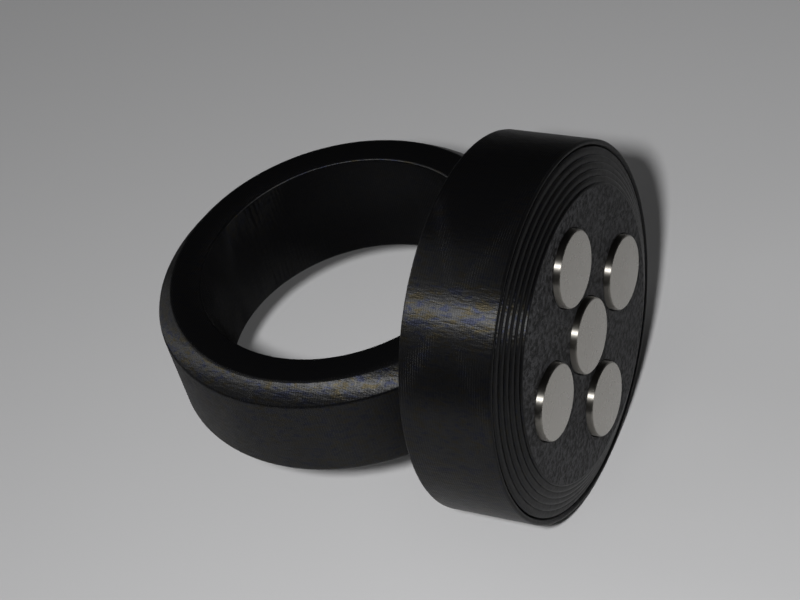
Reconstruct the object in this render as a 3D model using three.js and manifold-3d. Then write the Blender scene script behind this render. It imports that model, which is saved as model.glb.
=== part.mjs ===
// A finger-ring clicker trainer: a printed finger band that carries a drum-shaped head on one side.
// The head's front is a sprung cap with five disc magnets. Pressing it snaps a steel dome inside the head.
// Lengths are millimetres. Z is up, along the finger hole. The head's axis is Y, and the magnets face -Y.
// The origin is under the middle of the part, on the surface that the head lies on.
import * as THREE from "three";
import { mergeVertices } from "three/addons/utils/BufferGeometryUtils.js";
import Module from "manifold-3d";

// Head: radii are from its axis, and depths are measured back from its flat face
const HEAD_RADIUS = 12.5;
const HEAD_DEPTH = 7.1;
const LIP_WALL = 0.35;
const SIDE_WALL = 1.2;
const BACK_WALL = 1.2;

// Finger band
const FINGER_RADIUS = 9.5;
const BAND_WALL = 3.25;
const BAND_WIDTH = 8.2;
const BAND_CHAMFER = 1.2;
const BAND_INNER_CHAMFER = 0.2;
const FINGER_TO_HEAD = 0.45; // from the head's back to the nearest point of the finger hole

// Press cap: the bevel round its face is a stair of printed layers
const BEVEL_WIDTH = 2.15;
const LAYER_HEIGHT = 0.16;
const BEVEL_STEPS = 5;
const CAP_EDGE = 1.4; // thickness of the rim behind the bevel
const CAP_CLEARANCE = 0.2; // radial, to the housing's lip
const TRAVEL = 0.7;
const STOP_GAP = 0.2; // left in front of the housing's shoulder at full press

// Disc magnets in blind pockets of the cap
const MAGNET_RADIUS = 2.5;
const MAGNET_THICKNESS = 2;
const MAGNET_PROUD = 0.4;
const MAGNET_ROUNDING = 0.2;
const POCKET_CLEARANCE = 0.1;
const MAGNET_SPACING_SHARE = 0.4; // part of the face's free width that lies inside the outer magnets

// Snap dome, its pocket and the plunger that pushes it
const DOME_FLANGE = 1; // width of the flat rim
const DOME_SHEET = 0.25;
const DOME_RISE = 0.9;
const DOME_CLEARANCE = 0.2; // radial, in the pocket
const DOME_POCKET_DEPTH = 0.8;
const DOME_WALL = 1.4; // between the pocket and the posts' guide holes
const PLUNGER_RADIUS = 1.5;
const PLUNGER_GAP = 0.1; // to the dome's crown at rest

// Retainer ring over the dome's rim
const RETAINER_WIDTH = 0.8;
const RETAINER_CLEARANCE = 0.1; // radial, in the pocket
const RETAINER_GAP = 0.05; // to the dome's rim

// Brass guide posts, pressed into the cap's back, which slide in the housing's floor
const POST_RADIUS = 1.4;
const SOCKET_DEPTH = 1.5;
const SOCKET_CLEARANCE = 0.05; // round the post
const GUIDE_CLEARANCE = 0.2;
const GUIDE_LENGTH = 0.7;

// Cheese-head screws and their washers, sunk in the head's back
const SCREW_RADIUS = 0.8;
const SCREW_TIP_GAP = 0.6; // to the floor of the post's socket
const SCREW_HEAD_RADIUS = 1.5;
const SCREW_HEAD_HEIGHT = 1;
const SLOT_WIDTH = 0.4;
const SLOT_DEPTH = 0.45;
const THREAD_CLEARANCE = 0.1; // round the screw, in the post
const WASHER_RADIUS = 2;
const WASHER_THICKNESS = 0.3;
const WASHER_CLEARANCE = 0.1; // round the screw
const COUNTERBORE_CLEARANCE = 0.15; // round the washer
const SUNK = 0.1; // depth of the screw heads below the head's back at full press

// Return springs round the posts
const WIRE_RADIUS = 0.15;
const SPRING_CLEARANCE = 0.1; // round the post
const SPRING_END_GAP = 0.05;
const SPRING_TO_BORE = 0.3;
const SPRING_TURNS = 3;

// Cuts run this far past the faces that they open
const OVERRUN = 0.5;

// Facets of round pieces, by size, and steps of rounded profiles
const LARGE_FACETS = 64;
const MEDIUM_FACETS = 32;
const SMALL_FACETS = 20;
const WIRE_FACETS = 6;
const STEPS_PER_TURN = 12;
const DOME_STEPS = 6;
const ROUNDING_STEPS = 2;

// Depths behind the flat face
const rimDepth = BEVEL_STEPS * LAYER_HEIGHT;
const capBack = rimDepth + CAP_EDGE;
const socketFloor = capBack - SOCKET_DEPTH;
const shoulderDepth = capBack + TRAVEL + STOP_GAP;
const washerSeat = HEAD_DEPTH - SUNK - TRAVEL - SCREW_HEAD_HEIGHT - WASHER_THICKNESS;
const floorDepth = washerSeat - GUIDE_LENGTH;
const domeSeat = floorDepth + DOME_POCKET_DEPTH;
const reliefFloor = HEAD_DEPTH - BACK_WALL;
const domeCrown = domeSeat - DOME_SHEET - DOME_RISE;
const screwHeadDepth = washerSeat + WASHER_THICKNESS;
const screwTipDepth = socketFloor + SCREW_TIP_GAP;

// Radii and middles that follow
const capRadius = HEAD_RADIUS - LIP_WALL - CAP_CLEARANCE;
const faceRadius = capRadius - BEVEL_WIDTH;
const stepWidth = BEVEL_WIDTH / BEVEL_STEPS;
const freeWidth = faceRadius - 3 * MAGNET_RADIUS;
const magnetCircle = 2 * MAGNET_RADIUS + MAGNET_SPACING_SHARE * freeWidth;
const boreRadius = HEAD_RADIUS - SIDE_WALL;
const springRadius = POST_RADIUS + SPRING_CLEARANCE + WIRE_RADIUS;
const postCircle = boreRadius - SPRING_TO_BORE - WIRE_RADIUS - springRadius;
const guideRadius = POST_RADIUS + GUIDE_CLEARANCE;
const domePocketRadius = postCircle - guideRadius - DOME_WALL;
const domeRadius = domePocketRadius - DOME_CLEARANCE;
const formedRadius = domeRadius - DOME_FLANGE;
const bandRadius = FINGER_RADIUS + BAND_WALL;
const bandDepth = HEAD_DEPTH + FINGER_TO_HEAD + FINGER_RADIUS;
const farDepth = bandDepth + bandRadius;
const middleDepth = (farDepth - MAGNET_PROUD) / 2;

const wasm = await Module();
wasm.setup();

// A closed outline of [radius, depth] points turned about the Y axis, with a facet square to Z.
// A radius is the one to the middle of the facets, so the part is as wide as its sizes say.
// An outline that encloses no axis repeats its first point, and one on the axis starts and ends there.
function turned(outline, facets) {
  const half = Math.PI / facets;
  const after = (i) => outline[(i + 1) % outline.length];
  const area = outline.reduce((sum, [r, y], i) => sum + r * after(i)[1] - after(i)[0] * y, 0);
  const ordered = area > 0 ? outline : [...outline].reverse();
  const closed = ordered[0][0] > 0 ? [...ordered, ordered[0]] : ordered;
  const points = closed.map(([r, y]) => new THREE.Vector2(r / Math.cos(half), y));
  return new THREE.LatheGeometry(points, facets, half);
}

// A plain disc or pin between two depths
function pin(radius, from, to, facets) {
  return turned([[0, from], [radius, from], [radius, to], [0, to]], facets);
}

// A geometry as a solid that can be joined and cut
function solid(geometry) {
  const bare = geometry.clone();
  bare.deleteAttribute("normal");
  bare.deleteAttribute("uv");
  const merged = mergeVertices(bare);
  const index = merged.index.array;
  const corners = [];
  for (let i = 0; i < index.length; i += 3) {
    const [a, b, c] = index.slice(i, i + 3);
    if (a !== b && b !== c && c !== a) corners.push(a, b, c);
  }
  const mesh = new wasm.Mesh({
    numProp: 3,
    vertProperties: merged.attributes.position.array,
    triVerts: new Uint32Array(corners),
  });
  return new wasm.Manifold(mesh);
}

// A joined or cut solid back as a geometry
function geometryOf(made) {
  const { vertProperties, triVerts } = made.getMesh();
  const geometry = new THREE.BufferGeometry();
  geometry.setAttribute("position", new THREE.BufferAttribute(vertProperties.slice(), 3));
  geometry.setIndex(new THREE.BufferAttribute(triVerts.slice(), 1));
  geometry.computeVertexNormals();
  return geometry;
}

// Middles of the four posts, between the outer magnets
const postPlaces = [1, 3, 5, 7].map((eighth) => {
  const angle = (eighth * Math.PI) / 4;
  return [postCircle * Math.cos(angle), postCircle * Math.sin(angle)];
});

// Middles of the magnets, by name
const magnetPlaces = {
  centre: [0, 0],
  top: [0, magnetCircle],
  bottom: [0, -magnetCircle],
  left: [-magnetCircle, 0],
  right: [magnetCircle, 0],
};

// Finger band and head body, one print
function housingGeometry() {
  const head = pin(HEAD_RADIUS, rimDepth, HEAD_DEPTH, LARGE_FACETS);
  const half = BAND_WIDTH / 2;
  const band = turned(
    [
      [FINGER_RADIUS + BAND_INNER_CHAMFER, -half],
      [bandRadius - BAND_CHAMFER, -half],
      [bandRadius, BAND_CHAMFER - half],
      [bandRadius, half - BAND_CHAMFER],
      [bandRadius - BAND_CHAMFER, half],
      [FINGER_RADIUS + BAND_INNER_CHAMFER, half],
      [FINGER_RADIUS, half - BAND_INNER_CHAMFER],
      [FINGER_RADIUS, BAND_INNER_CHAMFER - half],
    ],
    LARGE_FACETS,
  );
  band.rotateX(Math.PI / 2);
  band.translate(0, bandDepth, 0);

  // Bore for the cap, well behind it, pocket of the dome and relief under the dome
  const well = turned(
    [
      [0, rimDepth - OVERRUN],
      [HEAD_RADIUS - LIP_WALL, rimDepth - OVERRUN],
      [HEAD_RADIUS - LIP_WALL, shoulderDepth],
      [boreRadius, shoulderDepth],
      [boreRadius, floorDepth],
      [domePocketRadius, floorDepth],
      [domePocketRadius, domeSeat],
      [formedRadius, domeSeat],
      [formedRadius, reliefFloor],
      [0, reliefFloor],
    ],
    LARGE_FACETS,
  );
  let housing = solid(head).add(solid(band)).subtract(solid(well));

  // Guide hole for a post, and the counterbore behind it for its screw and washer
  const sinkRadius = WASHER_RADIUS + COUNTERBORE_CLEARANCE;
  for (const [x, z] of postPlaces) {
    const hole = turned(
      [
        [0, floorDepth - OVERRUN],
        [guideRadius, floorDepth - OVERRUN],
        [guideRadius, washerSeat],
        [sinkRadius, washerSeat],
        [sinkRadius, HEAD_DEPTH + OVERRUN],
        [0, HEAD_DEPTH + OVERRUN],
      ],
      SMALL_FACETS,
    );
    housing = housing.subtract(solid(hole.translate(x, 0, z)));
  }
  return geometryOf(housing);
}

// Face, stepped bevel and plunger, one print, with blind pockets for the magnets and the posts
function capGeometry() {
  const stair = [];
  for (let step = 0; step < BEVEL_STEPS; step += 1) {
    const radius = faceRadius + step * stepWidth;
    stair.push([radius, step * LAYER_HEIGHT]);
    stair.push([radius, (step + 1) * LAYER_HEIGHT]);
  }
  const plate = turned(
    [
      [0, 0],
      ...stair,
      [capRadius, rimDepth],
      [capRadius, capBack],
      [PLUNGER_RADIUS, capBack],
      [PLUNGER_RADIUS, domeCrown - PLUNGER_GAP],
      [0, domeCrown - PLUNGER_GAP],
    ],
    LARGE_FACETS,
  );
  let cap = solid(plate);

  // Sockets of the posts
  const socketRadius = POST_RADIUS + SOCKET_CLEARANCE;
  for (const [x, z] of postPlaces) {
    const socket = pin(socketRadius, socketFloor, capBack + OVERRUN, SMALL_FACETS).translate(x, 0, z);
    cap = cap.subtract(solid(socket));
  }

  // Magnet pockets
  const pocketRadius = MAGNET_RADIUS + POCKET_CLEARANCE;
  const pocketFloor = MAGNET_THICKNESS - MAGNET_PROUD;
  for (const [x, z] of Object.values(magnetPlaces)) {
    const pocket = pin(pocketRadius, -OVERRUN, pocketFloor, MEDIUM_FACETS).translate(x, 0, z);
    cap = cap.subtract(solid(pocket));
  }
  return geometryOf(cap);
}

// Disc with both edges rounded, its front face proud of the cap
function magnetGeometry() {
  const front = -MAGNET_PROUD;
  const back = front + MAGNET_THICKNESS;
  const rounded = [];
  for (let step = 0; step <= ROUNDING_STEPS; step += 1) {
    const angle = (step * Math.PI) / 2 / ROUNDING_STEPS;
    const out = MAGNET_RADIUS - MAGNET_ROUNDING * (1 - Math.sin(angle));
    rounded.push([out, MAGNET_ROUNDING * (1 - Math.cos(angle))]);
  }
  const frontEdge = rounded.map(([r, inset]) => [r, front + inset]);
  const backEdge = rounded.map(([r, inset]) => [r, back - inset]).reverse();
  return turned([[0, front], ...frontEdge, ...backEdge, [0, back]], MEDIUM_FACETS);
}

// Formed sheet: a flat rim, and a crown that rises from it in one smooth wave
function domeGeometry() {
  const crown = [];
  for (let step = 0; step <= DOME_STEPS; step += 1) {
    const share = step / DOME_STEPS;
    const rise = (DOME_RISE * (1 + Math.cos(Math.PI * share))) / 2;
    crown.push([share * formedRadius, domeSeat - rise]);
  }
  const outer = crown.map(([r, depth]) => [r, depth - DOME_SHEET]);
  const rim = [
    [domeRadius, domeSeat - DOME_SHEET],
    [domeRadius, domeSeat],
  ];
  return turned([...outer, ...rim, ...crown.reverse()], MEDIUM_FACETS);
}

// Flat ring, level with the well's floor
function retainerGeometry() {
  const outer = domePocketRadius - RETAINER_CLEARANCE;
  const inner = outer - RETAINER_WIDTH;
  const back = domeSeat - DOME_SHEET - RETAINER_GAP;
  return turned([[inner, floorDepth], [outer, floorDepth], [outer, back], [inner, back]], MEDIUM_FACETS);
}

// Brass sleeve, tapped right through for its screw
function postGeometry() {
  const hole = SCREW_RADIUS + THREAD_CLEARANCE;
  const outline = [
    [hole, socketFloor],
    [POST_RADIUS, socketFloor],
    [POST_RADIUS, washerSeat],
    [hole, washerSeat],
  ];
  return turned(outline, SMALL_FACETS);
}

// Cheese-head screw with a driver slot, its head towards the back
function screwGeometry() {
  const top = screwHeadDepth + SCREW_HEAD_HEIGHT;
  const body = turned(
    [
      [0, screwTipDepth],
      [SCREW_RADIUS, screwTipDepth],
      [SCREW_RADIUS, screwHeadDepth],
      [SCREW_HEAD_RADIUS, screwHeadDepth],
      [SCREW_HEAD_RADIUS, top],
      [0, top],
    ],
    SMALL_FACETS,
  );
  const slot = new THREE.BoxGeometry(2 * (SCREW_HEAD_RADIUS + OVERRUN), 2 * SLOT_DEPTH, SLOT_WIDTH);
  slot.translate(0, top, 0);
  return geometryOf(solid(body).subtract(solid(slot)));
}

// Flat washer between the screw head and the end of the post
function washerGeometry() {
  const hole = SCREW_RADIUS + WASHER_CLEARANCE;
  const outline = [
    [hole, washerSeat],
    [WASHER_RADIUS, washerSeat],
    [WASHER_RADIUS, screwHeadDepth],
    [hole, screwHeadDepth],
  ];
  return turned(outline, SMALL_FACETS);
}

// Path of the spring's wire: a helix about Y from the origin, one unit of time long
class Helix extends THREE.Curve {
  constructor(radius, length, turns) {
    super();
    this.radius = radius;
    this.length = length;
    this.turns = turns;
  }

  getPoint(time) {
    const angle = 2 * Math.PI * this.turns * time;
    return new THREE.Vector3(
      this.radius * Math.cos(angle),
      this.length * time,
      this.radius * Math.sin(angle),
    );
  }
}

// Compression spring between the cap's back and the well's floor
function springGeometry() {
  const inset = WIRE_RADIUS + SPRING_END_GAP;
  const length = floorDepth - capBack - 2 * inset;
  const section = new THREE.Shape();
  for (let i = 0; i < WIRE_FACETS; i += 1) {
    const angle = (2 * Math.PI * i) / WIRE_FACETS;
    const corner = [WIRE_RADIUS * Math.cos(angle), WIRE_RADIUS * Math.sin(angle)];
    if (i === 0) section.moveTo(...corner);
    else section.lineTo(...corner);
  }
  section.closePath();
  const wire = new THREE.ExtrudeGeometry(section, {
    steps: SPRING_TURNS * STEPS_PER_TURN,
    bevelEnabled: false,
    extrudePath: new Helix(springRadius, length, SPRING_TURNS),
  });
  return wire.translate(0, capBack + inset, 0);
}

// Finishes
const finishes = {
  printedPlastic: { color: "#1d1d1f", roughness: 0.5, metalness: 0 },
  platePrinted: { color: "#29292b", roughness: 0.8, metalness: 0 },
  nickel: { color: "#b9b4ac", roughness: 0.3, metalness: 1 },
  springSteel: { color: "#8f9296", roughness: 0.25, metalness: 1 },
  brass: { color: "#b59a4e", roughness: 0.35, metalness: 1 },
  zincSteel: { color: "#a4a6a8", roughness: 0.4, metalness: 1 },
};

// One named piece, with a material of its own, at a place on the head's face
function piece(group, name, geometry, finish, [x, z] = [0, 0]) {
  const mesh = new THREE.Mesh(geometry, new THREE.MeshStandardMaterial(finish));
  mesh.name = name;
  mesh.position.set(x, 0, z);
  group.add(mesh);
}

const clicker = new THREE.Group();
clicker.position.set(0, -middleDepth, HEAD_RADIUS);

const body = new THREE.Group();
piece(body, "ring_housing", housingGeometry(), finishes.printedPlastic);
piece(body, "click_dome", domeGeometry(), finishes.springSteel);
piece(body, "dome_retainer", retainerGeometry(), finishes.printedPlastic);
clicker.add(body);

const button = new THREE.Group();
piece(button, "press_cap", capGeometry(), finishes.platePrinted);
for (const [place, middle] of Object.entries(magnetPlaces)) {
  piece(button, `magnet_${place}`, magnetGeometry(), finishes.nickel, middle);
}
clicker.add(button);

postPlaces.forEach((middle, i) => {
  const number = i + 1;
  piece(button, `guide_post_${number}`, postGeometry(), finishes.brass, middle);
  piece(button, `cap_screw_${number}`, screwGeometry(), finishes.zincSteel, middle);
  piece(button, `screw_washer_${number}`, washerGeometry(), finishes.zincSteel, middle);
  piece(body, `return_spring_${number}`, springGeometry(), finishes.springSteel, middle);
});

export default clicker;
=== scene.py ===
# A finger-ring clicker trainer: black printed ring and head, sprung cap with five disc magnets.
# The head's axis is Y and the magnets face -Y. Depths are measured back from the head's flat face.
import math

import bpy
from mathutils import Matrix, Vector


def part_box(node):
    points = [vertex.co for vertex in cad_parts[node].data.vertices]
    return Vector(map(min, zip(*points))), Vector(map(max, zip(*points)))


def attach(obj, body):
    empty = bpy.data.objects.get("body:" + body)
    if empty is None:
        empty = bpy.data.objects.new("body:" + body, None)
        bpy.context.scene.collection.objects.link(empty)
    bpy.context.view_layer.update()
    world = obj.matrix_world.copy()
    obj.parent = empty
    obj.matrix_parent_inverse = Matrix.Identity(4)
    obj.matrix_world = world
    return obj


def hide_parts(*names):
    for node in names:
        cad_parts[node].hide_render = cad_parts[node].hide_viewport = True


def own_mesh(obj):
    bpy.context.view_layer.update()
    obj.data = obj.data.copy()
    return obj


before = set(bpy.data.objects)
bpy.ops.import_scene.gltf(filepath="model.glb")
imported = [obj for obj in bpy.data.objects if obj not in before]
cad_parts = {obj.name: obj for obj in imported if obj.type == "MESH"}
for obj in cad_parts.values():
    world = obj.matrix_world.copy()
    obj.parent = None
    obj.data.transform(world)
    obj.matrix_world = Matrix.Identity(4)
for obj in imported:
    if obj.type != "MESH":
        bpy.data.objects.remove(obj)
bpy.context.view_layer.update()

MM = 0.001
FACE_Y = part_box("press_cap")[0].y
AXIS_Z = (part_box("press_cap")[0].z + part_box("press_cap")[1].z) / 2

# Head
HEAD_RADIUS = 12.5 * MM
HEAD_DEPTH = 7.1 * MM
HEAD_BACK_EDGE = 0.25 * MM
LIP_WALL = 0.35 * MM
LIP_EDGE = 0.17 * MM
WELL_EDGE = 0.15 * MM
SIDE_WALL = 1.2 * MM
BACK_WALL = 1.2 * MM

# Finger band
FINGER_RADIUS = 9.5 * MM
BAND_WALL = 3.25 * MM
BAND_WIDTH = 8.2 * MM
BAND_CHAMFER = 1.2 * MM
BAND_EDGE = 0.16 * MM
BAND_INNER_EDGE = 0.2 * MM
BAND_EDGE_STEPS = 3
FINGER_TO_HEAD = 0.45 * MM

# Press cap
LAYER = 0.16 * MM
TRACK = 0.42 * MM
BEVEL_STEPS = 5
BEVEL_WIDTH = 2.15 * MM
BEAD_EDGE = 0.06 * MM
RIM_BULGE = 0.08 * MM
# An overhanging bead of filament, drooping outwards: shares of its width and of a layer's height
BEAD = (
    (-0.1, 0.02),
    (0.05, -0.12),
    (0.28, -0.16),
    (0.5, -0.1),
    (0.7, 0.04),
    (0.84, 0.24),
    (0.93, 0.48),
    (0.98, 0.74),
    (0.96, 0.92),
)
CAP_EDGE = 1.4 * MM
CAP_CLEARANCE = 0.2 * MM
TRAVEL = 0.7 * MM
STOP_GAP = 0.2 * MM

# Magnets
MAGNET_RADIUS = 2.5 * MM
MAGNET_THICKNESS = 2 * MM
MAGNET_PROUD = 0.4 * MM
MAGNET_EDGE = 0.15 * MM
MAGNET_EDGE_STEPS = 6
POCKET_CLEARANCE = 0.1 * MM
POCKET_MOUTH = 0.05 * MM
# Share of the room left beside the discs that parts each outer disc from the middle one
MAGNET_SPACING_SHARE = 0.4

# Click mechanism
DOME_RADIUS = 6 * MM
DOME_FLANGE = 1 * MM
DOME_SHEET = 0.25 * MM
DOME_EDGE = DOME_SHEET / 4
DOME_RISE = 0.9 * MM
DOME_CLEARANCE = 0.2 * MM
DOME_STEPS = 16
# The dome's innermost ring, in steps from its middle
DOME_FIRST_STEP = 0.5
RETAINER_WIDTH = 0.8 * MM
RETAINER_CLEARANCE = 0.1 * MM
RETAINER_GAP = 0.05 * MM
POST_RADIUS = 1.4 * MM
PLUNGER_RADIUS = 1.5 * MM
PLUNGER_GAP = 0.1 * MM
POST_CIRCLE = 9.2 * MM
POST_TURNS = (45, 135, 225, 315)
SOCKET_RADIUS = 1.45 * MM
SOCKET_DEPTH = 1.5 * MM
GUIDE_RADIUS = 1.6 * MM
GUIDE_LENGTH = 0.7 * MM
DOME_POCKET_DEPTH = 0.8 * MM
SPRING_RADIUS = 1.65 * MM
SPRING_WIRE = 0.15 * MM
SPRING_END_GAP = 0.05 * MM
OPEN_TURNS = 2
TURN_STEPS = 24
WIRE_FACETS = 12

# Screws and washers at the back
SCREW_RADIUS = 0.8 * MM
SCREW_HEAD_RADIUS = 1.5 * MM
SCREW_HEAD_HEIGHT = 1 * MM
SCREW_EDGE = 0.15 * MM
SCREW_TIP_GAP = 0.6 * MM
THREAD_PITCH = 0.35 * MM
THREAD_DEPTH = 0.18 * MM
THREAD_CLEARANCE = 0.1 * MM
# Where the crest of each ridge of the thread starts and ends, as shares of the pitch
CREST_START = 0.4
CREST_END = 0.55
SLOT_TURNS = (20, 65, 110, 160)
SLOT_WIDTH = 0.4 * MM
SLOT_DEPTH = 0.45 * MM
WASHER_RADIUS = 2 * MM
WASHER_HOLE = 0.9 * MM
WASHER_THICKNESS = 0.3 * MM
WASHER_EDGE = 0.06 * MM
SINK_RADIUS = 2.15 * MM
SINK_MOUTH = 0.1 * MM
SUNK = 0.1 * MM
OVERRUN = 0.5 * MM

# Depths and radii that follow
rim_depth = BEVEL_STEPS * LAYER
cap_back = rim_depth + CAP_EDGE
shoulder = cap_back + TRAVEL + STOP_GAP
washer_seat = HEAD_DEPTH - SUNK - TRAVEL - SCREW_HEAD_HEIGHT - WASHER_THICKNESS
screw_seat = washer_seat + WASHER_THICKNESS
well_floor = washer_seat - GUIDE_LENGTH
dome_seat = well_floor + DOME_POCKET_DEPTH
relief_floor = HEAD_DEPTH - BACK_WALL
dome_crown = dome_seat - DOME_SHEET - DOME_RISE
socket_floor = cap_back - SOCKET_DEPTH
lip_radius = HEAD_RADIUS - LIP_WALL
cap_radius = lip_radius - CAP_CLEARANCE
face_radius = cap_radius - BEVEL_WIDTH
bore_radius = HEAD_RADIUS - SIDE_WALL
formed_radius = DOME_RADIUS - DOME_FLANGE
dome_pocket_radius = DOME_RADIUS + DOME_CLEARANCE
magnet_circle = 2 * MAGNET_RADIUS + MAGNET_SPACING_SHARE * (face_radius - 3 * MAGNET_RADIUS)
band_depth = HEAD_DEPTH + FINGER_TO_HEAD + FINGER_RADIUS
band_middle = Vector((0, FACE_Y + band_depth, AXIS_Z))

# How finely round shapes are made, and the least distance between two points
LARGE_FACETS = 256
DISC_FACETS = 128
SMALL_FACETS = 64
CORNER_STEPS = 4
SMOOTH_ANGLE = math.radians(35)
MERGE_DISTANCE = 0.0005 * MM

magnet_places = {
    "centre": (0, 0),
    "top": (0, magnet_circle),
    "bottom": (0, -magnet_circle),
    "left": (-magnet_circle, 0),
    "right": (magnet_circle, 0),
}
post_places = [
    (POST_CIRCLE * math.cos(math.radians(turn)), POST_CIRCLE * math.sin(math.radians(turn)))
    for turn in POST_TURNS
]


# Modelling

def edit(obj):
    """Opens one object alone in edit mode."""
    bpy.ops.object.select_all(action="DESELECT")
    obj.select_set(True)
    bpy.context.view_layer.objects.active = obj
    bpy.ops.object.mode_set(mode="EDIT")


def settle(obj, name):
    """Merges doubles, turns faces outwards, shades by angle and puts the object's origin at the frame's."""
    if obj.mode != "EDIT":
        edit(obj)
    bpy.ops.mesh.select_all(action="SELECT")
    bpy.ops.mesh.remove_doubles(threshold=MERGE_DISTANCE)
    bpy.ops.mesh.normals_make_consistent(inside=False)
    bpy.ops.object.mode_set(mode="OBJECT")
    bpy.ops.object.transform_apply(location=True, rotation=True, scale=True)
    bpy.ops.object.shade_smooth_by_angle(angle=SMOOTH_ANGLE)
    obj.name = name
    return obj


def arc(radius, depth, size, start, end, steps=CORNER_STEPS):
    """Points of a rounded corner round [radius, depth], from one angle to another in degrees."""
    points = []
    for step in range(steps + 1):
        angle = math.radians(start + (end - start) * step / steps)
        points.append((radius + size * math.cos(angle), depth + size * math.sin(angle)))
    return points


def turned(name, outline, facets, middle=(0, 0)):
    """A solid turned about the head's axis, or about a line beside it. It starts as a disc at the outline's
    first [radius, depth], and is extruded and scaled from there to each next one. An outline that ends where
    it starts gives a ring."""
    x, z = middle
    radius, depth = outline[0]
    bpy.ops.object.select_all(action="DESELECT")
    bpy.ops.mesh.primitive_circle_add(
        vertices=facets,
        radius=radius,
        fill_type="NOTHING" if outline[0] == outline[-1] else "NGON",
        location=(x, FACE_Y + depth, AXIS_Z + z),
        rotation=(math.pi / 2, 0, 0),
    )
    obj = bpy.context.object
    bpy.ops.object.mode_set(mode="EDIT")
    for next_radius, next_depth in outline[1:]:
        bpy.ops.mesh.extrude_region_move(TRANSFORM_OT_translate={"value": (0, next_depth - depth, 0)})
        share = next_radius / radius
        bpy.ops.transform.resize(
            value=(share, 1, share), center_override=(x, FACE_Y + next_depth, AXIS_Z + z)
        )
        radius, depth = next_radius, next_depth
    return settle(obj, name)


def worked(obj, tool, operation):
    """The object joined to a tool or cut by it, which uses the tool up."""
    modifier = obj.modifiers.new(operation, "BOOLEAN")
    modifier.operation = operation
    modifier.object = tool
    modifier.solver = "EXACT"
    bpy.ops.object.select_all(action="DESELECT")
    obj.select_set(True)
    bpy.context.view_layer.objects.active = obj
    bpy.ops.object.modifier_apply(modifier=modifier.name)
    bpy.data.objects.remove(tool)
    return obj


def joined(objects):
    """Several objects as one."""
    bpy.ops.object.select_all(action="DESELECT")
    for obj in objects:
        obj.select_set(True)
    bpy.context.view_layer.objects.active = objects[0]
    bpy.ops.object.join()
    return objects[0]


def copied(obj, name, middle, turn=0):
    """A copy with its own mesh, turned by some degrees and moved across the head's face."""
    twin = obj.copy()
    twin.data = obj.data.copy()
    twin.data.transform(
        Matrix.Translation((middle[0], 0, AXIS_Z + middle[1]))
        @ Matrix.Rotation(math.radians(turn), 4, "Y")
        @ Matrix.Translation((0, 0, -AXIS_Z))
    )
    twin.name = name
    bpy.context.scene.collection.objects.link(twin)
    return twin


# Cap: a grainy flat face, a stair of printed layers round it, and a plunger behind

def make_cap():
    outline = arc(face_radius - 2 * BEAD_EDGE, 2 * BEAD_EDGE, 2 * BEAD_EDGE, -90, 0)
    step_width = BEVEL_WIDTH / BEVEL_STEPS
    for step in range(BEVEL_STEPS):
        # The outermost bead bulges towards the lip, so that the seam is narrow
        width = step_width + (RIM_BULGE if step == BEVEL_STEPS - 1 else 0)
        for across, deep in BEAD:
            outline.append((face_radius + step * step_width + across * width, (step + 1 + deep) * LAYER))
    outline.append((cap_radius, rim_depth + LAYER))
    outline += arc(cap_radius - BEAD_EDGE, cap_back - BEAD_EDGE, BEAD_EDGE, 0, 90)
    outline.append((PLUNGER_RADIUS, cap_back))
    tip = dome_crown - PLUNGER_GAP
    outline += arc(PLUNGER_RADIUS - BEAD_EDGE, tip - BEAD_EDGE, BEAD_EDGE, 0, 90)
    cap = turned("cap_print", outline, LARGE_FACETS)

    magnet_room = MAGNET_RADIUS + POCKET_CLEARANCE
    pocket = [
        (magnet_room + 2 * POCKET_MOUTH, -OVERRUN),
        (magnet_room + 2 * POCKET_MOUTH, -POCKET_MOUTH),
        (magnet_room, POCKET_MOUTH),
        (magnet_room, MAGNET_THICKNESS - MAGNET_PROUD),
    ]
    cutters = [turned("pocket", pocket, DISC_FACETS, place) for place in magnet_places.values()]
    socket = [(SOCKET_RADIUS, socket_floor), (SOCKET_RADIUS, cap_back + OVERRUN)]
    cutters += [turned("socket", socket, SMALL_FACETS, place) for place in post_places]
    worked(cap, joined(cutters), "DIFFERENCE")
    return settle(cap, "cap_print")


# Ring and head body: a drum with a chamfered finger band behind it

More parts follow.
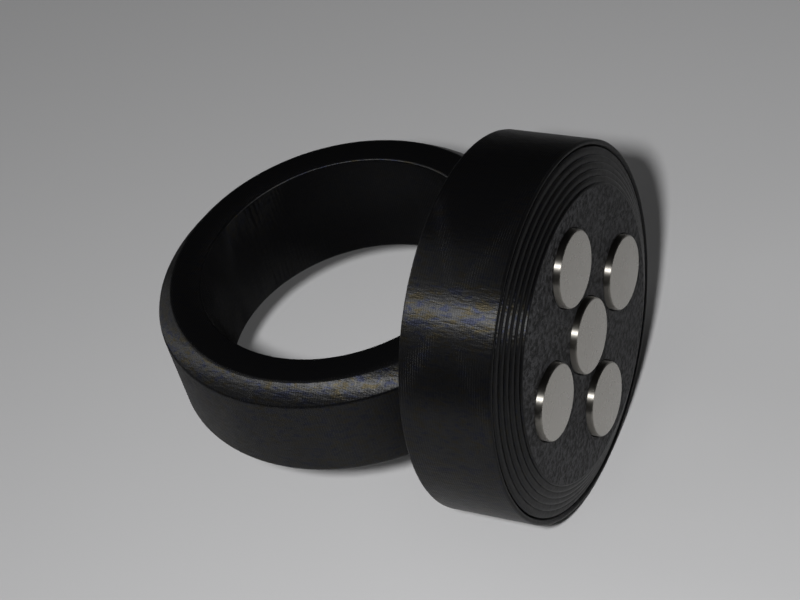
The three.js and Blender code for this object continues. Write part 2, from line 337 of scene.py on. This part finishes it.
def make_housing():
    outline = [
        (formed_radius, relief_floor),
        (formed_radius, dome_seat),
        (dome_pocket_radius, dome_seat),
        (dome_pocket_radius, well_floor + WELL_EDGE),
        (dome_pocket_radius + WELL_EDGE, well_floor),
        (bore_radius, well_floor),
        (bore_radius, shoulder + WELL_EDGE),
        (bore_radius + WELL_EDGE, shoulder),
        (lip_radius, shoulder),
    ]
    outline += arc(lip_radius + LIP_EDGE, rim_depth + LIP_EDGE, LIP_EDGE, 180, 270)
    outline += arc(HEAD_RADIUS - LIP_EDGE, rim_depth + LIP_EDGE, LIP_EDGE, -90, 0)
    outline += arc(HEAD_RADIUS - HEAD_BACK_EDGE, HEAD_DEPTH - HEAD_BACK_EDGE, HEAD_BACK_EDGE, 0, 90)
    drum = turned("drum", outline, LARGE_FACETS)

    bpy.ops.object.select_all(action="DESELECT")
    profile_middle = band_middle + Vector((FINGER_RADIUS + BAND_WALL / 2, 0, 0))
    bpy.ops.mesh.primitive_plane_add(size=1, location=profile_middle, rotation=(math.pi / 2, 0, 0))
    band = bpy.context.object
    bpy.ops.object.mode_set(mode="EDIT")
    bpy.ops.transform.resize(value=(BAND_WALL, 1, BAND_WIDTH), center_override=profile_middle)
    bpy.ops.object.mode_set(mode="OBJECT")
    bpy.ops.object.transform_apply(location=True, rotation=True, scale=True)
    edit(band)
    bpy.ops.mesh.select_mode(type="VERT")
    # The outer corners are chamfered, the corners that this leaves are rounded, and then the inner ones are
    outside, as_before, inside = 1, 0, -1
    for side, size, steps in (
        (outside, BAND_CHAMFER, 1),
        (as_before, BAND_EDGE, BAND_EDGE_STEPS),
        (inside, BAND_INNER_EDGE, BAND_EDGE_STEPS),
    ):
        if side != as_before:
            bpy.ops.mesh.select_all(action="DESELECT")
            bpy.ops.object.mode_set(mode="OBJECT")
            for vertex in band.data.vertices:
                vertex.select = (vertex.co.x - profile_middle.x) * side > 0
            bpy.ops.object.mode_set(mode="EDIT")
        bpy.ops.mesh.bevel(offset=size, segments=steps, affect="VERTICES", clamp_overlap=True)
    bpy.ops.mesh.select_all(action="SELECT")
    bpy.ops.mesh.delete(type="ONLY_FACE")
    bpy.ops.mesh.select_all(action="SELECT")
    bpy.ops.mesh.spin(steps=LARGE_FACETS, angle=2 * math.pi, center=band_middle, axis=(0, 0, 1))
    bpy.ops.mesh.select_all(action="SELECT")
    bpy.ops.mesh.remove_doubles(threshold=MERGE_DISTANCE)
    # The band ends inside the head's back wall
    bpy.ops.mesh.select_all(action="SELECT")
    bpy.ops.mesh.bisect(
        plane_co=(0, FACE_Y + (relief_floor + HEAD_DEPTH) / 2, 0),
        plane_no=(0, 1, 0),
        use_fill=True,
        clear_inner=True,
    )
    settle(band, "band")

    housing = worked(drum, band, "UNION")
    sink = [
        (GUIDE_RADIUS, well_floor - OVERRUN),
        (GUIDE_RADIUS, washer_seat),
        (SINK_RADIUS, washer_seat),
        (SINK_RADIUS, HEAD_DEPTH - SINK_MOUTH),
        (SINK_RADIUS + 2 * SINK_MOUTH, HEAD_DEPTH + SINK_MOUTH),
        (SINK_RADIUS + 2 * SINK_MOUTH, HEAD_DEPTH + OVERRUN),
    ]
    for place in post_places:
        worked(housing, turned("sink", sink, SMALL_FACETS, place), "DIFFERENCE")
    return settle(housing, "ring_print")


def sleeve(inner, outer, front, back, edge):
    """The outline of a ring with its edges broken."""
    return [
        (inner, front + edge),
        (inner + edge, front),
        (outer - edge, front),
        (outer, front + edge),
        (outer, back - edge),
        (outer - edge, back),
        (inner + edge, back),
        (inner, back - edge),
        (inner, front + edge),
    ]


# Snap dome: a thin domed disc with a flat rim

def make_dome():
    front = []
    for step in range(DOME_STEPS + 1):
        share = max(step, DOME_FIRST_STEP) / DOME_STEPS
        depth = dome_crown + DOME_RISE * (1 - math.cos(math.pi * share)) / 2
        front.append((share * formed_radius, depth))
    rim = dome_seat - DOME_SHEET
    outline = front + [(DOME_RADIUS - DOME_EDGE, rim), (DOME_RADIUS, rim + DOME_EDGE)]
    outline += [(DOME_RADIUS, dome_seat - DOME_EDGE), (DOME_RADIUS - DOME_EDGE, dome_seat)]
    outline += [(radius, depth + DOME_SHEET) for radius, depth in reversed(front)]
    return turned("snap_dome", outline, DISC_FACETS)


# Return spring: one closed turn, two open ones and one closed

def make_spring():
    front = cap_back + SPRING_END_GAP + SPRING_WIRE
    back = well_floor - SPRING_END_GAP - SPRING_WIRE
    closed_pitch = 2 * SPRING_WIRE
    open_pitch = (back - front - 2 * closed_pitch) / OPEN_TURNS
    place = (SPRING_RADIUS, FACE_Y + front, AXIS_Z)
    bpy.ops.object.select_all(action="DESELECT")
    bpy.ops.mesh.primitive_circle_add(
        vertices=WIRE_FACETS, radius=SPRING_WIRE, fill_type="NGON", location=place
    )
    wire = bpy.context.object
    bpy.ops.object.mode_set(mode="EDIT")
    for pitch in [closed_pitch] + OPEN_TURNS * [open_pitch] + [closed_pitch]:
        for _ in range(TURN_STEPS):
            bpy.ops.mesh.extrude_region_move(TRANSFORM_OT_translate={"value": (0, pitch / TURN_STEPS, 0)})
            bpy.ops.transform.rotate(
                value=2 * math.pi / TURN_STEPS, orient_axis="Y", center_override=(0, 0, AXIS_Z)
            )
    return settle(wire, "spring")


# Cheese-head screw with a slot, and ridges for its thread

def make_screw():
    tip = socket_floor + SCREW_TIP_GAP
    core = SCREW_RADIUS - THREAD_DEPTH
    outline = [(core - THREAD_DEPTH, tip), (core, tip + THREAD_DEPTH)]
    ridges = int((screw_seat - tip - 3 * THREAD_DEPTH) / THREAD_PITCH)
    for ridge in range(ridges):
        start = tip + 2 * THREAD_DEPTH + ridge * THREAD_PITCH
        outline += [(core, start), (SCREW_RADIUS, start + CREST_START * THREAD_PITCH)]
        outline += [(SCREW_RADIUS, start + CREST_END * THREAD_PITCH)]
    outline += [(core, screw_seat - THREAD_DEPTH), (core, screw_seat)]
    outline += [(SCREW_HEAD_RADIUS - WASHER_EDGE, screw_seat)]
    outline += [(SCREW_HEAD_RADIUS, screw_seat + WASHER_EDGE)]
    top = screw_seat + SCREW_HEAD_HEIGHT
    outline += arc(SCREW_HEAD_RADIUS - SCREW_EDGE, top - SCREW_EDGE, SCREW_EDGE, 0, 90)
    screw = turned("screw", outline, SMALL_FACETS)
    bpy.ops.object.select_all(action="DESELECT")
    slot_middle = (0, FACE_Y + top - SLOT_DEPTH / 2 + OVERRUN / 2, AXIS_Z)
    bpy.ops.mesh.primitive_cube_add(size=1, location=slot_middle)
    cutter = bpy.context.object
    bpy.ops.object.mode_set(mode="EDIT")
    bpy.ops.transform.resize(
        value=(SLOT_WIDTH, SLOT_DEPTH + OVERRUN, 3 * SCREW_HEAD_RADIUS), center_override=slot_middle
    )
    settle(cutter, "slot")
    worked(screw, cutter, "DIFFERENCE")
    return settle(screw, "screw")


# Disc magnet with its plated, rounded edges

def make_magnet():
    front = -MAGNET_PROUD
    back = front + MAGNET_THICKNESS
    corner = MAGNET_RADIUS - MAGNET_EDGE
    outline = arc(corner, front + MAGNET_EDGE, MAGNET_EDGE, -90, 0, MAGNET_EDGE_STEPS)
    outline += arc(corner, back - MAGNET_EDGE, MAGNET_EDGE, 0, 90, MAGNET_EDGE_STEPS)
    return turned("magnet", outline, DISC_FACETS)


cap_print = make_cap()
ring_print = make_housing()
magnet = make_magnet()
magnets = {
    place: copied(magnet, f"magnet_disc_{place}", middle) for place, middle in magnet_places.items()
}
bpy.data.objects.remove(magnet)

snap_dome = make_dome()
retainer_outer = dome_pocket_radius - RETAINER_CLEARANCE
retainer_back = dome_seat - DOME_SHEET - RETAINER_GAP
retainer_ring = turned(
    "retainer_ring",
    sleeve(retainer_outer - RETAINER_WIDTH, retainer_outer, well_floor, retainer_back, WASHER_EDGE),
    DISC_FACETS,
)
post_inner = SCREW_RADIUS + THREAD_CLEARANCE
masters = {
    "coil_spring": make_spring(),
    "post_sleeve": turned(
        "post", sleeve(post_inner, POST_RADIUS, socket_floor, washer_seat, WASHER_EDGE), SMALL_FACETS
    ),
    "slotted_screw": make_screw(),
    "flat_washer": turned(
        "washer", sleeve(WASHER_HOLE, WASHER_RADIUS, washer_seat, screw_seat, WASHER_EDGE), SMALL_FACETS
    ),
}
small_pieces = {
    name: [
        copied(master, f"{name}_{index + 1}", place, SLOT_TURNS[index] if name == "slotted_screw" else 0)
        for index, place in enumerate(post_places)
    ]
    for name, master in masters.items()
}
for master in masters.values():
    bpy.data.objects.remove(master)


# Materials

FILAMENT_IOR = 1.46

# Sizes of the patterns in the finishes, how high they stand, and how far the flecks are turned
WAVER = 4 * MM
STREAK_WIDTH = 0.22 * MM
STREAK_LENGTH = 0.9 * MM
STREAK_HEIGHT = 0.03 * MM
FLECK_WIDTH = 0.35 * MM
FLECK_LENGTH = 0.9 * MM
FLECK_TURN = 0.5
# How high the ridge of a layer stands, as a share of the layer
LAYER_RIDGE = 0.08
BEAD_GRAIN = 0.4 * MM
BEAD_GRAIN_HEIGHT = 0.04 * MM
TRACK_HEIGHT = 0.05 * MM
TRACK_GRAIN_HEIGHT = 0.04 * MM
PLATE_GRAIN = 0.34 * MM
PLATE_GRAIN_HEIGHT = 0.2 * MM
NICKEL_CLOUD = 1.5 * MM
METAL_CLOUD = 0.4 * MM


def linear(colour):
    """An sRGB hex colour as linear values."""
    channels = [int(colour[i : i + 2], 16) / 255 for i in (1, 3, 5)]
    return [c / 12.92 if c <= 0.04045 else ((c + 0.055) / 1.055) ** 2.4 for c in channels] + [1]


def node(material, kind, settings=(), links=()):
    """Adds a node. Settings are (name, value) of a property or a socket, links are (socket, node, output)."""
    tree = material.node_tree
    made = tree.nodes.new(kind)
    for name, value in settings:
        if isinstance(name, str) and hasattr(made, name):
            setattr(made, name, value)
        else:
            made.inputs[name].default_value = value
    for socket, source, output in links:
        tree.links.new(source.outputs[output], made.inputs[socket])
    return made


def new_material(name):
    material = bpy.data.materials.new(name)
    material.use_nodes = True
    material.node_tree.nodes.clear()
    return material


def finish_material(material, shader):
    node(material, "ShaderNodeOutputMaterial", links=[("Surface", shader, "BSDF")])
    return material


def layer_relief(material, place, stairs):
    """The ridges of the printed layers, and the stair steps that they leave on a leaning wall."""
    along = node(material, "ShaderNodeSeparateXYZ", links=[(0, place, "Object")])
    # A slow waver of a fraction of a layer keeps the lines from looking ruled
    waver = node(
        material, "ShaderNodeTexNoise", [("Scale", 1 / WAVER), ("Detail", 2)], [("Vector", place, "Object")]
    )
    layers = node(material, "ShaderNodeMath", [("operation", "MULTIPLY"), (1, 1 / LAYER)], [(0, along, "Y")])
    count = node(
        material,
        "ShaderNodeMath",
        [("operation", "MULTIPLY_ADD"), (1, 0.5)],
        [(0, waver, "Fac"), (2, layers, 0)],
    )
    rise = node(material, "ShaderNodeMath", [("operation", "FRACT")], [(0, count, 0)])
    ridge = node(material, "ShaderNodeMath", [("operation", "PINGPONG"), (1, 0.5)], [(0, count, 0)])
    # A truly flat face, square to the layers, has no stairs
    normal = node(material, "ShaderNodeNewGeometry")
    facing = node(material, "ShaderNodeSeparateXYZ", links=[(0, normal, "Normal")])
    lean = node(material, "ShaderNodeMath", [("operation", "ABSOLUTE")], [(0, facing, "Y")])
    sloping = node(
        material,
        "ShaderNodeMapRange",
        [("From Min", 0.93), ("From Max", 0.995), ("To Min", -stairs), ("To Max", 0.0)],
        [("Value", lean, 0)],
    )
    stair = node(material, "ShaderNodeMath", [("operation", "MULTIPLY")], [(0, rise, 0), (1, facing, "Y")])
    steps = node(material, "ShaderNodeMath", [("operation", "MULTIPLY")], [(0, stair, 0), (1, sloping, 0)])
    relief = node(
        material,
        "ShaderNodeMath",
        [("operation", "MULTIPLY_ADD"), (1, LAYER_RIDGE)],
        [(0, ridge, 0), (2, steps, 0)],
    )
    return node(
        material, "ShaderNodeBump", [("Strength", 1.0), ("Distance", LAYER)], [("Height", relief, 0)]
    )


def groove_shimmer(material, place):
    """Blue and amber flecks, as fine grooves give to a highlight. They are drawn coarser than real."""
    flecked = node(
        material,
        "ShaderNodeMapping",
        [
            ("Rotation", (FLECK_TURN, 0, FLECK_TURN)),
            ("Scale", (1 / FLECK_WIDTH, 1 / FLECK_LENGTH, 1 / FLECK_WIDTH)),
        ],
        [("Vector", place, "Object")],
    )
    flecks = node(
        material,
        "ShaderNodeTexNoise",
        [("Scale", 1.0), ("Detail", 2), ("Roughness", 0.6), ("Distortion", 0.6)],
        [("Vector", flecked, "Vector")],
    )
    tint = node(material, "ShaderNodeValToRGB", links=[("Fac", flecks, "Fac")])
    blue, amber = tint.color_ramp.elements
    blue.position = 0.36
    blue.color = linear("#c9d2ff")
    amber.position = 0.64
    amber.color = linear("#ffefc6")
    for position in (0.45, 0.55):
        tint.color_ramp.elements.new(position).color = linear("#f4f4f4")
    return tint


# Black PLA filament, printed face down: each wall is a stack of fine layers square to Y. The grooves between
# them spread a highlight along Y and hold it narrow round the head, with a faint blue and amber shimmer.
# In the finger hole the layers end in rough stairs a full layer high, and that wall looks dull.
def black_filament_walls(name, colour, level, stairs):
    """Level is how strongly the wall reflects, and stairs is how high its steps stand, in layers."""
    material = new_material(name)
    place = node(material, "ShaderNodeTexCoord")
    layer_bump = layer_relief(material, place, stairs)
    # Fine unevenness of the filament, drawn out along the head's axis, breaks up a highlight. It is drawn
    # several times coarser than real, to be seen at all from a normal distance
    streaked = node(
        material,
        "ShaderNodeMapping",
        [("Scale", (1 / STREAK_WIDTH, 1 / STREAK_LENGTH, 1 / STREAK_WIDTH))],
        [("Vector", place, "Object")],
    )
    streak = node(
        material,
        "ShaderNodeTexNoise",
        [("Scale", 1.0), ("Detail", 3), ("Roughness", 0.65)],
        [("Vector", streaked, "Vector")],
    )
    bump = node(
        material,
        "ShaderNodeBump",
        [("Strength", 0.42), ("Distance", STREAK_HEIGHT)],
        [("Height", streak, "Fac"), ("Normal", layer_bump, "Normal")],
    )
    rough = node(
        material,
        "ShaderNodeMapRange",
        [("From Min", 0.35), ("From Max", 0.65), ("To Min", 0.4), ("To Max", 0.48)],
        [("Value", streak, "Fac")],
    )
    tint = groove_shimmer(material, place)
    grooves = node(material, "ShaderNodeCombineXYZ", [("Y", 1.0)])
    shader = node(
        material,
        "ShaderNodeBsdfPrincipled",
        [
            ("Base Color", linear(colour)),
            ("IOR", FILAMENT_IOR),
            ("Specular IOR Level", level),
            ("Anisotropic", 1.0),
        ],
        [
            ("Roughness", rough, "Result"),
            ("Specular Tint", tint, "Color"),
            ("Normal", bump, "Normal"),
            ("Tangent", grooves, "Vector"),
        ],
    )
    return finish_material(material, shader)


# The bevel's beads and the lip: the same PLA laid in rings, the bevel's with nothing under them. They are
# smooth, and so dark except where seen at a grazing angle. Their grain is drawn coarser than real.
def black_filament_beads():
    material = new_material("black_pla_overhang_beads")
    place = node(material, "ShaderNodeTexCoord")
    grain = node(
        material,
        "ShaderNodeTexNoise",
        [("Scale", 1 / BEAD_GRAIN), ("Detail", 3), ("Roughness", 0.6)],
        [("Vector", place, "Object")],
    )
    bump = node(
        material,
        "ShaderNodeBump",
        [("Strength", 0.5), ("Distance", BEAD_GRAIN_HEIGHT)],
        [("Height", grain, "Fac")],
    )
    rough = node(
        material,
        "ShaderNodeMapRange",
        [("From Min", 0.35), ("From Max", 0.65), ("To Min", 0.34), ("To Max", 0.42)],
        [("Value", grain, "Fac")],
    )
    shader = node(
        material,
        "ShaderNodeBsdfPrincipled",
        [("Base Color", linear("#09090a")), ("IOR", FILAMENT_IOR), ("Specular IOR Level", 0.16)],
        [("Roughness", rough, "Result"), ("Normal", bump, "Normal")],
    )
    return finish_material(material, shader)


# The last layer of the head's back: straight satin tracks of PLA side by side at 45 degrees, each with a
# faint round top that catches the light along one side. The tracks are as wide as real ones.
def black_filament_top():
    material = new_material("black_pla_top_layer")
    place = node(material, "ShaderNodeTexCoord")
    turned_45 = node(
        material,
        "ShaderNodeMapping",
        [("Rotation", (0, math.radians(45), 0)), ("Scale", (1 / TRACK, 1 / TRACK, 1 / TRACK))],
        [("Vector", place, "Object")],
    )
    across = node(material, "ShaderNodeSeparateXYZ", links=[(0, turned_45, "Vector")])
    track = node(material, "ShaderNodeMath", [("operation", "PINGPONG"), (1, 0.5)], [(0, across, "X")])
    crown = node(material, "ShaderNodeMath", [("operation", "POWER"), (1, 0.5)], [(0, track, 0)])
    track_bump = node(
        material, "ShaderNodeBump", [("Strength", 0.6), ("Distance", TRACK_HEIGHT)], [("Height", crown, 0)]
    )
    drawn = node(
        material,
        "ShaderNodeMapping",
        [("Scale", (1, 1, 0.12))],
        [("Vector", turned_45, "Vector")],
    )
    grain = node(
        material, "ShaderNodeTexNoise", [("Scale", 1.5), ("Detail", 3)], [("Vector", drawn, "Vector")]
    )
    bump = node(
        material,
        "ShaderNodeBump",
        [("Strength", 0.4), ("Distance", TRACK_GRAIN_HEIGHT)],
        [("Height", grain, "Fac"), ("Normal", track_bump, "Normal")],
    )
    rough = node(
        material,
        "ShaderNodeMapRange",
        [("From Min", 0.35), ("From Max", 0.65), ("To Min", 0.42), ("To Max", 0.54)],
        [("Value", grain, "Fac")],
    )
    shader = node(
        material,
        "ShaderNodeBsdfPrincipled",
        [("Base Color", linear("#0f0f10")), ("IOR", FILAMENT_IOR), ("Specular IOR Level", 0.5)],
        [("Roughness", rough, "Result"), ("Normal", bump, "Normal")],
    )
    return finish_material(material, shader)


# The same PLA against a textured print plate: a rough grain of pits and specks, lighter than the walls. They
# are about a third of a millimetre across, as on a real plate. The colour follows the grain's height, so the
# pits carry painted shade.
def black_filament_face():
    material = new_material("black_pla_textured_plate_face")
    place = node(material, "ShaderNodeTexCoord")
    grain = node(
        material,
        "ShaderNodeTexNoise",
        [("Scale", 1 / PLATE_GRAIN), ("Detail", 2), ("Roughness", 0.6)],
        [("Vector", place, "Object")],
    )
    bump = node(
        material,
        "ShaderNodeBump",
        [("Strength", 1.0), ("Distance", PLATE_GRAIN_HEIGHT)],
        [("Height", grain, "Fac")],
    )
    # Painted shade: the colour darkens with the grain's height, darkest in the pits
    colour = node(material, "ShaderNodeValToRGB", links=[("Fac", grain, "Fac")])
    pit_painted_shade, speck = colour.color_ramp.elements
    pit_painted_shade.position = 0.42
    pit_painted_shade.color = linear("#060607")
    speck.position = 0.6
    speck.color = linear("#363638")
    shader = node(
        material,
        "ShaderNodeBsdfPrincipled",
        [("IOR", FILAMENT_IOR), ("Roughness", 0.6), ("Specular IOR Level", 0.28)],
        [("Base Color", colour, "Color"), ("Normal", bump, "Normal")],
    )
    return finish_material(material, shader)


# Nickel plating on a pressed magnet: a bright satin grey with a warm cast, clouded a little by handling. The
# side is ground round before plating, and its fine lines draw a highlight from edge to edge. The side's
# colour is painted darker than the face's, as painted shade for the dark room that it mirrors.
def nickel_plate(name, colour, roughness, anisotropic):
    material = new_material(name)
    place = node(material, "ShaderNodeTexCoord")
    cloud = node(
        material,
        "ShaderNodeTexNoise",
        [("Scale", 1 / NICKEL_CLOUD), ("Detail", 4)],
        [("Vector", place, "Object")],
    )
    rough = node(
        material,
        "ShaderNodeMapRange",
        [("From Min", 0.3), ("From Max", 0.7), ("To Min", roughness - 0.03), ("To Max", roughness + 0.03)],
        [("Value", cloud, "Fac")],
    )
    ground_lines = node(material, "ShaderNodeCombineXYZ", [("Y", 1.0)])
    shader = node(
        material,
        "ShaderNodeBsdfPrincipled",
        [("Base Color", linear(colour)), ("Metallic", 1.0), ("Anisotropic", anisotropic)],
        [("Roughness", rough, "Result"), ("Tangent", ground_lines, "Vector")],
    )
    return finish_material(material, shader)


# Rolled spring steel, turned brass and zinc-plated steel: plain small parts whose sheen varies a little from
# spot to spot. The spots are drawn coarser than real.
def plain_metal(name, colour, roughness):
    material = new_material(name)
    place = node(material, "ShaderNodeTexCoord")
    cloud = node(material, "ShaderNodeTexNoise", [("Scale", 1 / METAL_CLOUD)], [("Vector", place, "Object")])
    rough = node(
        material,
        "ShaderNodeMapRange",
        [("To Min", roughness - 0.08), ("To Max", roughness + 0.08)],
        [("Value", cloud, "Fac")],
    )
    shader = node(
        material,
        "ShaderNodeBsdfPrincipled",
        [("Base Color", linear(colour)), ("Metallic", 1.0)],
        [("Roughness", rough, "Result")],
    )
    return finish_material(material, shader)


walls = black_filament_walls("black_pla_printed_walls", "#09090a", 0.34, 0.35)
hole_wall = black_filament_walls("black_pla_finger_hole_wall", "#0e0e0f", 0.08, 1.0)
beads = black_filament_beads()
top_layer = black_filament_top()
face = black_filament_face()
nickel_face = nickel_plate("nickel_plated_magnet_face", "#b1aea8", 0.27, 0.0)
# The side is the same nickel, its colour painted darker as painted shade
nickel_side_painted_dark = nickel_plate("nickel_ground_side_painted_dark", "#8f8c86", 0.46, 1.0)
spring_steel = plain_metal("rolled_spring_steel", "#94979b", 0.3)
brass = plain_metal("turned_brass", "#b8994c", 0.35)
zinc = plain_metal("zinc_plated_steel", "#a9abad", 0.4)


def dress(obj, *materials):
    obj.data.materials.clear()
    for material in materials:
        obj.data.materials.append(material)


# How far a face points along an axis, as a share of 1, to lie square to it, nearly so, or along it
SQUARE = 0.99
NEARLY_SQUARE = 0.8
ALONG = 0.1
HOLE_WALL_MARGIN = BAND_EDGE / 4

# A printed piece and a magnet take their finishes face by face, from the way that the face points
ring_finishes = [walls, beads, top_layer, hole_wall]
dress(ring_print, *ring_finishes)
for polygon in ring_print.data.polygons:
    from_middle = (polygon.center - band_middle).xy.length
    if abs(polygon.normal.z) < ALONG and from_middle < FINGER_RADIUS + HOLE_WALL_MARGIN:
        polygon.material_index = ring_finishes.index(hole_wall)
    elif polygon.normal.y < -NEARLY_SQUARE and polygon.center.y < FACE_Y + well_floor:
        polygon.material_index = ring_finishes.index(beads)
    elif polygon.normal.y > NEARLY_SQUARE and polygon.center.y < FACE_Y + HEAD_DEPTH + LAYER:
        polygon.material_index = ring_finishes.index(top_layer)
cap_finishes = [walls, beads, face]
dress(cap_print, *cap_finishes)
for polygon in cap_print.data.polygons:
    if polygon.normal.y < -SQUARE and polygon.center.y < FACE_Y + LAYER / 2:
        polygon.material_index = cap_finishes.index(face)
    elif abs(polygon.normal.y) > NEARLY_SQUARE:
        polygon.material_index = cap_finishes.index(beads)
magnet_finishes = [nickel_face, nickel_side_painted_dark]
for obj in magnets.values():
    dress(obj, *magnet_finishes)
    for polygon in obj.data.polygons:
        if abs(polygon.normal.y) < NEARLY_SQUARE:
            polygon.material_index = magnet_finishes.index(nickel_side_painted_dark)
dress(snap_dome, spring_steel)
dress(retainer_ring, walls)
for name, material in (
    ("coil_spring", spring_steel),
    ("post_sleeve", brass),
    ("slotted_screw", zinc),
    ("flat_washer", zinc),
):
    for obj in small_pieces[name]:
        dress(obj, material)

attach(ring_print, "housing")
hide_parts("ring_housing")
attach(cap_print, "cap")
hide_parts("press_cap")
for place, obj in magnets.items():
    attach(obj, "cap")
    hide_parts(f"magnet_{place}")
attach(snap_dome, "housing")
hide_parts("click_dome")
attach(retainer_ring, "housing")
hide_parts("dome_retainer")
for name, node_name, body, slot in (
    ("coil_spring", "return_spring", "housing", "spring_steel"),
    ("post_sleeve", "guide_post", "cap", "brass"),
    ("slotted_screw", "cap_screw", "cap", "zinc_steel"),
    ("flat_washer", "screw_washer", "cap", "zinc_steel"),
):
    for index, obj in enumerate(small_pieces[name]):
        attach(obj, body)
        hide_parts(f"{node_name}_{index + 1}")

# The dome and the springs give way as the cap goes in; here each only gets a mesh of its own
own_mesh(snap_dome)
for obj in small_pieces["coil_spring"]:
    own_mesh(obj)

# Floor
FLOOR_SIZE = 4
bpy.ops.object.select_all(action="DESELECT")
bpy.ops.mesh.primitive_plane_add(size=FLOOR_SIZE, location=(0, 0, 0))
floor = bpy.context.object
floor.name = "floor"
# Pale matt paper, which takes a shadow and shows no highlight
paper = new_material("matt_floor_paper")
paper_shader = node(
    paper, "ShaderNodeBsdfPrincipled", [("Base Color", linear("#c9c9ca")), ("Roughness", 0.9)]
)
finish_material(paper, paper_shader)
dress(floor, paper)

# The camera stands where one fitted to the photo's outlines does
CAMERA_PLACE = Vector((-89.65, -68.46, 113.04)) * MM
CAMERA_RIGHT = Vector((0.4094, -0.88386, -0.22623))
CAMERA_UP = Vector((0.68972, 0.13751, 0.7109))
CAMERA_LENS = 101.74
CAMERA_SENSOR = 36
CAMERA_NEAREST = 5 * MM
camera_data = bpy.data.cameras.new("camera")
camera_data.lens = CAMERA_LENS
camera_data.sensor_width = CAMERA_SENSOR
camera_data.clip_start = CAMERA_NEAREST
camera = bpy.data.objects.new("camera", camera_data)
bpy.context.scene.collection.objects.link(camera)
back = CAMERA_RIGHT.cross(CAMERA_UP).normalized()
turn = Matrix((CAMERA_RIGHT, CAMERA_UP, back)).transposed().to_4x4()
camera.matrix_world = Matrix.Translation(CAMERA_PLACE) @ turn
bpy.context.scene.camera = camera

bpy.context.scene.view_settings.view_transform = "Standard"


# One hard lamp beside the camera, and two broad weak ones that lift the far sides
def lamp(name, place, watts, across):
    """A round lamp that shines to the middle of the head. Its place and its width are in millimetres."""
    data = bpy.data.lights.new(name, "AREA")
    data.shape = "DISK"
    data.size = across * MM
    data.energy = watts
    obj = bpy.data.objects.new(name, data)
    obj.location = Vector(place) * MM
    obj.rotation_euler = (Vector((0, 0, AXIS_Z)) - obj.location).to_track_quat("-Z", "Y").to_euler()
    bpy.context.scene.collection.objects.link(obj)


lamp("key", place=(-92.96, -55.04, 118.1), watts=0.22, across=9)
lamp("left_fill", place=(-245, 210, 140), watts=0.05, across=150)
lamp("back_fill", place=(-20, 380, 190), watts=0.26, across=200)

# The dim grey of the room
ROOM_COLOUR = (0.014, 0.014, 0.014, 1)
world = bpy.data.worlds.new("studio")
world.use_nodes = True
world.node_tree.nodes["Background"].inputs["Color"].default_value = ROOM_COLOUR
bpy.context.scene.world = world
